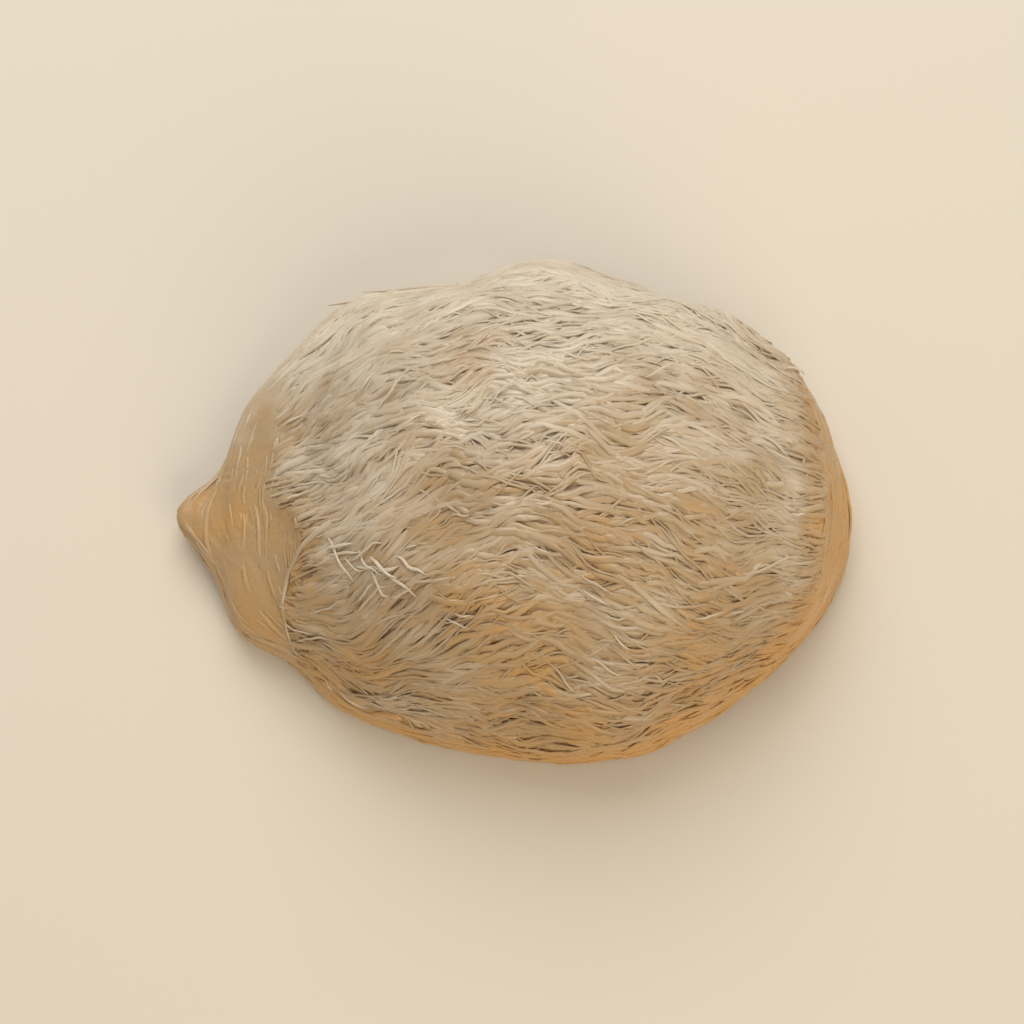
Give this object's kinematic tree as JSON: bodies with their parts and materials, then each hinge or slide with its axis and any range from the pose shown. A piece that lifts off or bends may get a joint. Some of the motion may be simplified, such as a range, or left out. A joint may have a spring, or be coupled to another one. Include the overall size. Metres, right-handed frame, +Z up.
{
  "type": "edible bird's nest",
  "caption": "Single dried edible swiftlet nest: a small oval cup of matted cream strands with a smooth lapped rim, lying mouth down.",
  "frame": {"origin": "under the middle of the nest's footprint, on the table that its rim rests on", "axes": "+Z up through the top of the dome, +X along the nest towards its blunt end, with the pointed foot at -X"},
  "size_m": [0.074, 0.0556, 0.0274],
  "materials": {
    "dried_strands": "satin"
  },
  "bodies": {
    "root": {"nest": "dried_strands"}
  },
  "joints": []
}
